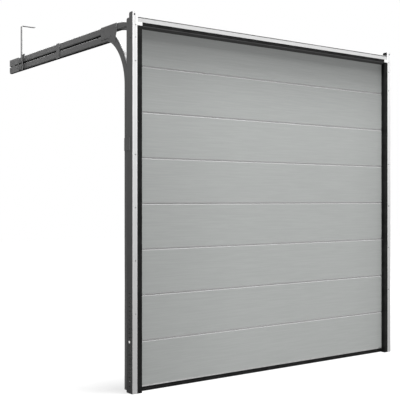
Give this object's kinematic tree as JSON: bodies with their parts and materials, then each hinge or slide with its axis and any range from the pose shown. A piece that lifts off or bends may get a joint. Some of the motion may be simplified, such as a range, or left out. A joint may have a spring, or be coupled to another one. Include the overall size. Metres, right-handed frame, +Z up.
{
  "type": "sectional garage door",
  "caption": "Closed sectional garage door of insulated ribbed sections in side posts, with curved and overhead tracks, hangers, balance springs and a spring bolt.",
  "frame": {"origin": "foot of the left post's flange, on its wall face, under its line of fixing holes, at floor level", "axes": "+X across the doorway towards the right post, +Y into the garage, +Z up"},
  "size_m": [2.213, 1.8002, 2.386],
  "materials": {
    "post_steel": "satin light grey coating",
    "black_rubber": "matt black",
    "leaf_paint": "satin grey, woodgrain embossed",
    "cap_paint": "satin grey",
    "aluminium": "mill",
    "track_steel": "satin dark grey",
    "roller_nylon": "moulded",
    "cable_steel": "stranded wire",
    "spring_steel": "zinc plated",
    "knob_plastic": "gloss black",
    "zinc_steel": "galvanised"
  },
  "bodies": {
    "door": {"balance_springs": "spring_steel", "bolt_bracket": "zinc_steel", "bolt_spring": "spring_steel", "bottom_brackets": "zinc_steel", "bottom_rail": "aluminium", "bottom_seal": "black_rubber", "cables": "cable_steel", "corner_plates": "post_steel", "curved_track_left": "track_steel", "curved_track_right": "track_steel", "end_caps": "cap_paint", "gussets": "track_steel", "hanger_left": "zinc_steel", "hanger_right": "zinc_steel", "lintel": "post_steel", "lower_track_left": "track_steel", "lower_track_right": "track_steel", "middle_hinges": "zinc_steel", "post_left": "post_steel", "post_right": "post_steel", "pulley_brackets": "zinc_steel", "pulleys": "roller_nylon", "rollers": "roller_nylon", "section_1": "leaf_paint", "section_2": "leaf_paint", "section_3": "leaf_paint", "section_4": "leaf_paint", "side_hinges": "zinc_steel", "side_seal_left": "black_rubber", "side_seal_right": "black_rubber", "spring_fittings": "zinc_steel", "top_carriers": "zinc_steel", "top_seal": "black_rubber", "track_clips": "track_steel", "track_straps": "track_steel", "upper_track_left": "track_steel", "upper_track_right": "track_steel", "vertical_track_left": "track_steel", "vertical_track_right": "track_steel"},
    "bolt_slider": {"bolt_washer": "zinc_steel"},
    "bolt_handle": {"bolt_rod": "zinc_steel", "bolt_knob": "knob_plastic"}
  },
  "joints": [
    {"name": "bolt_slide", "type": "slide", "parent": "door", "child": "bolt_slider", "axis": [-1, 0, 0], "range_m": [0, 0.028], "stiffness_N_per_m": 900, "springref_m": -0.02, "deforming": ["bolt_spring"]},
    {"name": "bolt_turn", "type": "hinge", "parent": "bolt_slider", "child": "bolt_handle", "pos_m": [0.1785, 0.095, 1.01], "axis": [1, 0, 0], "range_deg": [0, 90]}
  ]
}
